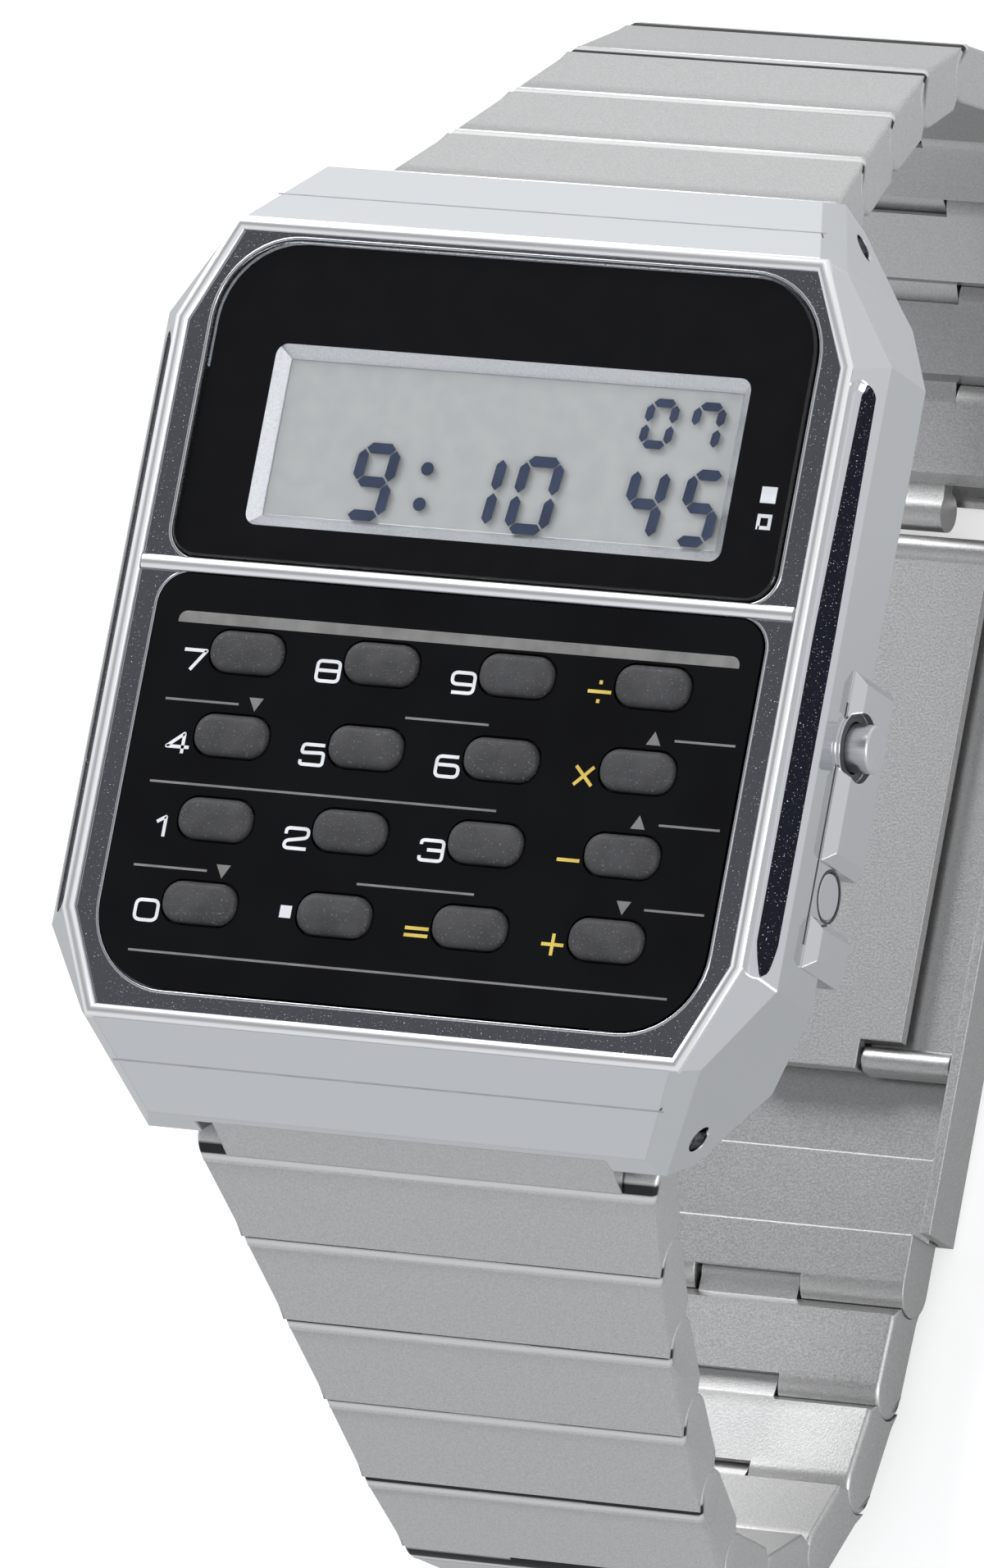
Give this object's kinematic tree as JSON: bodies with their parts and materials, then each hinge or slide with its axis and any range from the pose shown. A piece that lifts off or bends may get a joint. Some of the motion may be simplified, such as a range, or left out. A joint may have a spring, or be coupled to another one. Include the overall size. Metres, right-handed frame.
{
  "type": "calculator wrist watch",
  "caption": "Calculator watch with a polished faceted case, display over a keypad of travelling rubber keys, side buttons and a folded-link steel bracelet closed by a folding clasp.",
  "frame": {"origin": "centre of the flat outer face of the closed clasp cover, which the watch stands on", "axes": "+Z out of the dial, +Y towards 12 o'clock, +X towards 3 o'clock, where the two buttons are"},
  "size_m": [0.0356, 0.0694, 0.0439],
  "materials": {
    "polished_steel": "polished mirror steel",
    "bezel_plate": "dark mirror plate with a bright centre bar",
    "satin_steel": "satin folded steel",
    "clear_acrylic": "gloss black-backed clear acrylic",
    "keypad_acrylic": "gloss black printed panel",
    "silver_plastic": "bright silver moulding",
    "lcd_glass": "grey reflective liquid crystal panel",
    "key_rubber": "matt charcoal rubber",
    "membrane_rubber": "grey silicone",
    "module_plastic": "matt black moulding",
    "board": "green solder mask",
    "cell_steel": "plated cell can",
    "back_steel": "brushed stainless steel",
    "gasket_rubber": "black rubber",
    "screw_steel": "bright steel",
    "button_steel": "turned steel"
  },
  "bodies": {
    "case": {"case_body": "polished_steel", "front_bezel": "bezel_plate", "display_crystal": "clear_acrylic", "lcd_surround": "silver_plastic", "lcd_panel": "lcd_glass", "keypad_panel": "keypad_acrylic", "key_membrane": "membrane_rubber", "module_frame": "module_plastic", "circuit_board": "board", "battery": "cell_steel", "case_back": "back_steel", "case_back_gasket": "gasket_rubber", "case_back_screws": "screw_steel", "spring_bars": "screw_steel"},
    "key_7": {"key_7": "key_rubber"},
    "key_8": {"key_8": "key_rubber"},
    "key_9": {"key_9": "key_rubber"},
    "key_divide": {"key_divide": "key_rubber"},
    "key_4": {"key_4": "key_rubber"},
    "key_5": {"key_5": "key_rubber"},
    "key_6": {"key_6": "key_rubber"},
    "key_multiply": {"key_multiply": "key_rubber"},
    "key_1": {"key_1": "key_rubber"},
    "key_2": {"key_2": "key_rubber"},
    "key_3": {"key_3": "key_rubber"},
    "key_minus": {"key_minus": "key_rubber"},
    "key_0": {"key_0": "key_rubber"},
    "key_point": {"key_point": "key_rubber"},
    "key_equals": {"key_equals": "key_rubber"},
    "key_plus": {"key_plus": "key_rubber"},
    "mode_button": {"mode_button": "button_steel"},
    "adjust_button": {"adjust_button": "button_steel"},
    "upper_end_link": {"upper_end_link": "satin_steel"},
    "upper_link_1": {"upper_link_1": "satin_steel"},
    "upper_link_2": {"upper_link_2": "satin_steel"},
    "upper_link_3": {"upper_link_3": "satin_steel"},
    "upper_link_4": {"upper_link_4": "satin_steel"},
    "upper_link_5": {"upper_link_5": "satin_steel"},
    "upper_link_6": {"upper_link_6": "satin_steel"},
    "upper_link_7": {"upper_link_7": "satin_steel"},
    "upper_link_8": {"upper_link_8": "satin_steel"},
    "upper_link_9": {"upper_link_9": "satin_steel"},
    "upper_link_10": {"upper_link_10": "satin_steel"},
    "lower_end_link": {"lower_end_link": "satin_steel"},
    "lower_link_1": {"lower_link_1": "satin_steel"},
    "lower_link_2": {"lower_link_2": "satin_steel"},
    "lower_link_3": {"lower_link_3": "satin_steel"},
    "lower_link_4": {"lower_link_4": "satin_steel"},
    "lower_link_5": {"lower_link_5": "satin_steel"},
    "lower_link_6": {"lower_link_6": "satin_steel"},
    "lower_link_7": {"lower_link_7": "satin_steel"},
    "lower_link_8": {"lower_link_8": "satin_steel"},
    "lower_link_9": {"lower_link_9": "satin_steel"},
    "lower_link_10": {"lower_link_10": "satin_steel"},
    "clasp_adjuster": {"clasp_adjuster": "satin_steel"},
    "clasp_cover": {"clasp_cover": "satin_steel"},
    "clasp_outer_leaf": {"clasp_outer_leaf": "satin_steel"},
    "clasp_inner_leaf": {"clasp_inner_leaf": "satin_steel"}
  },
  "joints": [
    {"name": "clasp_adjuster_hinge", "type": "hinge", "parent": "lower_link_10", "child": "clasp_adjuster", "pos_m": [0, -0.01795, 0.0021], "axis": [-1, 0, 0], "range_deg": [0, 9]},
    {"name": "clasp_size_slide", "type": "slide", "parent": "clasp_adjuster", "child": "clasp_cover", "axis": [0, -1, 0], "range_m": [0, 0.003]},
    {"name": "clasp_cover_hinge", "type": "hinge", "parent": "clasp_cover", "child": "clasp_outer_leaf", "pos_m": [0, 0.01445, 0.0013], "axis": [-1, 0, 0], "range_deg": [0, 75]},
    {"name": "clasp_fold_hinge", "type": "hinge", "parent": "clasp_outer_leaf", "child": "clasp_inner_leaf", "pos_m": [0, -0.00775, 0.0018], "axis": [1, 0, 0], "range_deg": [0, 110]},
    {"name": "mode_button_press", "type": "slide", "parent": "case", "child": "mode_button", "axis": [-1, 0, 0], "range_m": [0, 0.0008], "stiffness_N_per_m": 700, "springref_m": -0.0008},
    {"name": "adjust_button_press", "type": "slide", "parent": "case", "child": "adjust_button", "axis": [-1, 0, 0], "range_m": [0, 0.0006], "stiffness_N_per_m": 700, "springref_m": -0.0008},
    {"name": "upper_end_link_hinge", "type": "hinge", "parent": "case", "child": "upper_end_link", "pos_m": [0, 0.01967, 0.03884], "axis": [1, 0, 0], "range_deg": [0, 10]},
    {"name": "upper_link_1_hinge", "type": "hinge", "parent": "upper_end_link", "child": "upper_link_1", "pos_m": [0, 0.02112, 0.03587], "axis": [1, 0, 0], "range_deg": [0, 8]},
    {"name": "upper_link_2_hinge", "type": "hinge", "parent": "upper_link_1", "child": "upper_link_2", "pos_m": [0, 0.02417, 0.03224], "axis": [1, 0, 0], "range_deg": [0, 5]},
    {"name": "upper_link_3_hinge", "type": "hinge", "parent": "upper_link_2", "child": "upper_link_3", "pos_m": [0, 0.02722, 0.0286], "axis": [1, 0, 0], "range_deg": [0, 6]},
    {"name": "upper_link_4_hinge", "type": "hinge", "parent": "upper_link_3", "child": "upper_link_4", "pos_m": [0, 0.03021, 0.02491], "axis": [1, 0, 0], "range_deg": [0, 14]},
    {"name": "upper_link_5_hinge", "type": "hinge", "parent": "upper_link_4", "child": "upper_link_5", "pos_m": [0, 0.03259, 0.02079], "axis": [1, 0, 0], "range_deg": [0, 25]},
    {"name": "upper_link_6_hinge", "type": "hinge", "parent": "upper_link_5", "child": "upper_link_6", "pos_m": [0, 0.03341, 0.01611], "axis": [1, 0, 0], "range_deg": [0, 25]},
    {"name": "upper_link_7_hinge", "type": "hinge", "parent": "upper_link_6", "child": "upper_link_7", "pos_m": [0, 0.03259, 0.01144], "axis": [1, 0, 0], "range_deg": [0, 25]},
    {"name": "upper_link_8_hinge", "type": "hinge", "parent": "upper_link_7", "child": "upper_link_8", "pos_m": [0, 0.03021, 0.00732], "axis": [1, 0, 0], "range_deg": [0, 25]},
    {"name": "upper_link_9_hinge", "type": "hinge", "parent": "upper_link_8", "child": "upper_link_9", "pos_m": [0, 0.02657, 0.00427], "axis": [1, 0, 0], "range_deg": [0, 25]},
    {"name": "upper_link_10_hinge", "type": "hinge", "parent": "upper_link_9", "child": "upper_link_10", "pos_m": [0, 0.02211, 0.00264], "axis": [1, 0, 0], "range_deg": [0, 18.42]},
    {"name": "lower_end_link_hinge", "type": "hinge", "parent": "case", "child": "lower_end_link", "pos_m": [0, -0.01967, 0.03884], "axis": [-1, 0, 0], "range_deg": [0, 10]},
    {"name": "lower_link_1_hinge", "type": "hinge", "parent": "lower_end_link", "child": "lower_link_1", "pos_m": [0, -0.02112, 0.03587], "axis": [-1, 0, 0], "range_deg": [0, 8]},
    {"name": "lower_link_2_hinge", "type": "hinge", "parent": "lower_link_1", "child": "lower_link_2", "pos_m": [0, -0.02384, 0.03198], "axis": [-1, 0, 0], "range_deg": [0, 6]},
    {"name": "lower_link_3_hinge", "type": "hinge", "parent": "lower_link_2", "child": "lower_link_3", "pos_m": [0, -0.0265, 0.02805], "axis": [-1, 0, 0], "range_deg": [0, 7]},
    {"name": "lower_link_4_hinge", "type": "hinge", "parent": "lower_link_3", "child": "lower_link_4", "pos_m": [0, -0.02901, 0.02402], "axis": [-1, 0, 0], "range_deg": [0, 6]},
    {"name": "lower_link_5_hinge", "type": "hinge", "parent": "lower_link_4", "child": "lower_link_5", "pos_m": [0, -0.03146, 0.01995], "axis": [-1, 0, 0], "range_deg": [0, 12]},
    {"name": "lower_link_6_hinge", "type": "hinge", "parent": "lower_link_5", "child": "lower_link_6", "pos_m": [0, -0.03339, 0.01561], "axis": [-1, 0, 0], "range_deg": [0, 31]},
    {"name": "lower_link_7_hinge", "type": "hinge", "parent": "lower_link_6", "child": "lower_link_7", "pos_m": [0, -0.03323, 0.01086], "axis": [-1, 0, 0], "range_deg": [0, 31]},
    {"name": "lower_link_8_hinge", "type": "hinge", "parent": "lower_link_7", "child": "lower_link_8", "pos_m": [0, -0.031, 0.00666], "axis": [-1, 0, 0], "range_deg": [0, 29]},
    {"name": "lower_link_9_hinge", "type": "hinge", "parent": "lower_link_8", "child": "lower_link_9", "pos_m": [0, -0.02725, 0.00374], "axis": [-1, 0, 0], "range_deg": [0, 27]},
    {"name": "lower_link_10_hinge", "type": "hinge", "parent": "lower_link_9", "child": "lower_link_10", "pos_m": [0, -0.02269, 0.00243], "axis": [-1, 0, 0], "range_deg": [0, 17]},
    {"name": "key_7_press", "type": "slide", "parent": "case", "child": "key_7", "axis": [0, 0, -1], "range_m": [0, 0.0004], "stiffness_N_per_m": 800, "springref_m": -0.0006},
    {"name": "key_8_press", "type": "slide", "parent": "case", "child": "key_8", "axis": [0, 0, -1], "range_m": [0, 0.0004], "stiffness_N_per_m": 800, "springref_m": -0.0006},
    {"name": "key_9_press", "type": "slide", "parent": "case", "child": "key_9", "axis": [0, 0, -1], "range_m": [0, 0.0004], "stiffness_N_per_m": 800, "springref_m": -0.0006},
    {"name": "key_divide_press", "type": "slide", "parent": "case", "child": "key_divide", "axis": [0, 0, -1], "range_m": [0, 0.0004], "stiffness_N_per_m": 800, "springref_m": -0.0006},
    {"name": "key_4_press", "type": "slide", "parent": "case", "child": "key_4", "axis": [0, 0, -1], "range_m": [0, 0.0004], "stiffness_N_per_m": 800, "springref_m": -0.0006},
    {"name": "key_5_press", "type": "slide", "parent": "case", "child": "key_5", "axis": [0, 0, -1], "range_m": [0, 0.0004], "stiffness_N_per_m": 800, "springref_m": -0.0006},
    {"name": "key_6_press", "type": "slide", "parent": "case", "child": "key_6", "axis": [0, 0, -1], "range_m": [0, 0.0004], "stiffness_N_per_m": 800, "springref_m": -0.0006},
    {"name": "key_multiply_press", "type": "slide", "parent": "case", "child": "key_multiply", "axis": [0, 0, -1], "range_m": [0, 0.0004], "stiffness_N_per_m": 800, "springref_m": -0.0006},
    {"name": "key_1_press", "type": "slide", "parent": "case", "child": "key_1", "axis": [0, 0, -1], "range_m": [0, 0.0004], "stiffness_N_per_m": 800, "springref_m": -0.0006},
    {"name": "key_2_press", "type": "slide", "parent": "case", "child": "key_2", "axis": [0, 0, -1], "range_m": [0, 0.0004], "stiffness_N_per_m": 800, "springref_m": -0.0006},
    {"name": "key_3_press", "type": "slide", "parent": "case", "child": "key_3", "axis": [0, 0, -1], "range_m": [0, 0.0004], "stiffness_N_per_m": 800, "springref_m": -0.0006},
    {"name": "key_minus_press", "type": "slide", "parent": "case", "child": "key_minus", "axis": [0, 0, -1], "range_m": [0, 0.0004], "stiffness_N_per_m": 800, "springref_m": -0.0006},
    {"name": "key_0_press", "type": "slide", "parent": "case", "child": "key_0", "axis": [0, 0, -1], "range_m": [0, 0.0004], "stiffness_N_per_m": 800, "springref_m": -0.0006},
    {"name": "key_point_press", "type": "slide", "parent": "case", "child": "key_point", "axis": [0, 0, -1], "range_m": [0, 0.0004], "stiffness_N_per_m": 800, "springref_m": -0.0006},
    {"name": "key_equals_press", "type": "slide", "parent": "case", "child": "key_equals", "axis": [0, 0, -1], "range_m": [0, 0.0004], "stiffness_N_per_m": 800, "springref_m": -0.0006},
    {"name": "key_plus_press", "type": "slide", "parent": "case", "child": "key_plus", "axis": [0, 0, -1], "range_m": [0, 0.0004], "stiffness_N_per_m": 800, "springref_m": -0.0006}
  ]
}
